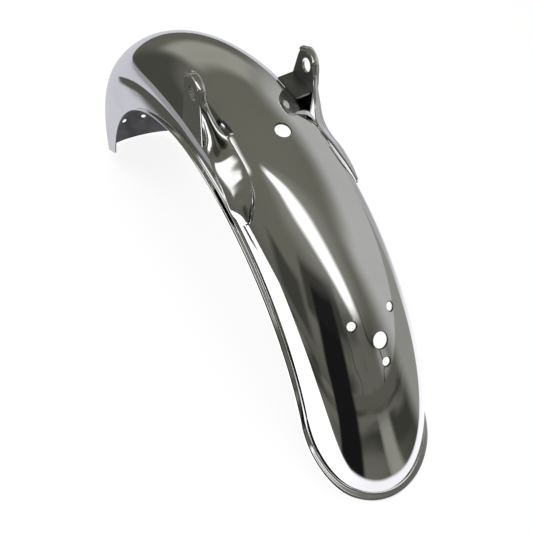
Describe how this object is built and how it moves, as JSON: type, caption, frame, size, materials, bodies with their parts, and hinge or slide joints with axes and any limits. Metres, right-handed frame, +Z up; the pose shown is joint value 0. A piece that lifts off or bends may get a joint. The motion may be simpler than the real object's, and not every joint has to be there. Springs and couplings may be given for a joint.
{
  "type": "motorcycle rear mudguard",
  "caption": "Domed chrome-plated steel rear mudguard for a small motorcycle, with a rolled edge bead, a raked tail, a deeper front skirt and a welded lug bracket on each shoulder.",
  "frame": {"origin": "centre of the bounding box's bottom face, under the crown and level with the lowest tips", "axes": "+X forward along the motorcycle, +Y to its left along the wheel axis, +Z up. The wheel axis runs along Y through x 2.33 mm, z -69.36 mm"},
  "size_m": [0.6078, 0.1134, 0.2575],
  "materials": {
    "chrome_blade": "bright chrome plate on smooth pressed steel",
    "chrome_bracket": "bright chrome plate on pressed steel plate, a little softer at the welds"
  },
  "bodies": {
    "root": {"mudguard_blade": "chrome_blade", "left_bracket": "chrome_bracket", "right_bracket": "chrome_bracket", "left_stay": "chrome_bracket", "right_stay": "chrome_bracket"}
  },
  "joints": []
}
